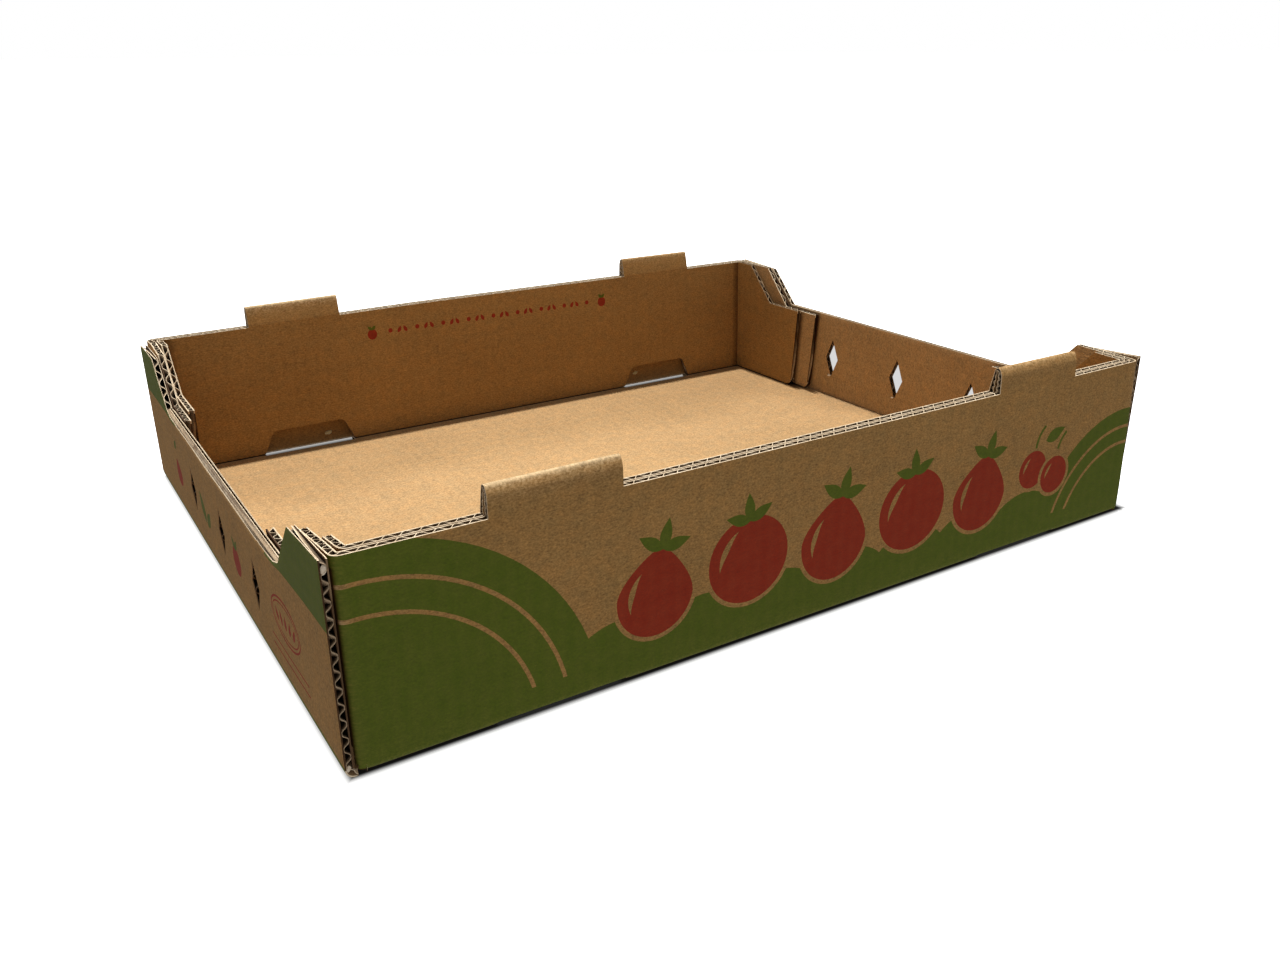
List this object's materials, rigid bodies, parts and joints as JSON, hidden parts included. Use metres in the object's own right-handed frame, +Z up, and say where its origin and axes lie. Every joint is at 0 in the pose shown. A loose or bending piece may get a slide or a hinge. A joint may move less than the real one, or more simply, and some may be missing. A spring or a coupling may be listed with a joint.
{
  "type": "cardboard produce tray",
  "caption": "Open stacking tray folded from one sheet of corrugated board, with double long walls, rolled-over stacking tabs, low end walls with raised corners and diamond vents.",
  "frame": {"origin": "middle of the tray on the ground plane that it stands on", "axes": "+X along the long walls, +Y from the front wall to the back wall, +Z up from the ground"},
  "size_m": [0.508, 0.4, 0.113],
  "materials": {
    "board": "matt brown kraft liners with one-side print in fields of green and red"
  },
  "bodies": {
    "root": {"tray": "board"}
  },
  "joints": []
}
